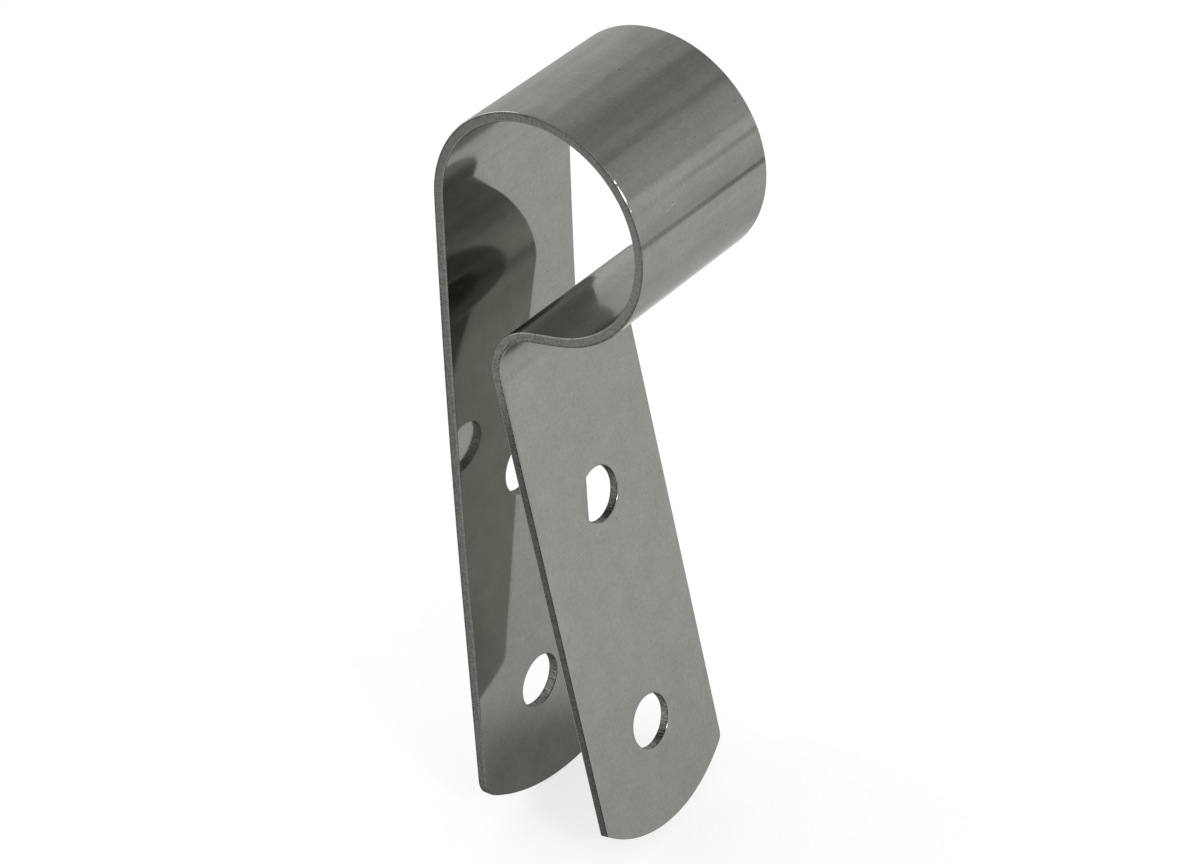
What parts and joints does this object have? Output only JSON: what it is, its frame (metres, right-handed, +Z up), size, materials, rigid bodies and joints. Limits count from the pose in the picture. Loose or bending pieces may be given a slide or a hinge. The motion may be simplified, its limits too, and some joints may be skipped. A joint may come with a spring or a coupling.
{
  "type": "tube clamp",
  "caption": "Clamp of bent stainless strip: an open loop for a 25 mm tube and splayed legs that screws draw together.",
  "frame": {"origin": "on the tube's axis at the middle of the strip's width", "axes": "+Y along the tube, +Z up the clamp from its legs to its loop, back leg upright on the -X side"},
  "size_m": [0.0285, 0.023, 0.0986],
  "materials": {
    "stainless": "polished"
  },
  "bodies": {
    "root": {"clamp_strip": "stainless"}
  },
  "joints": []
}
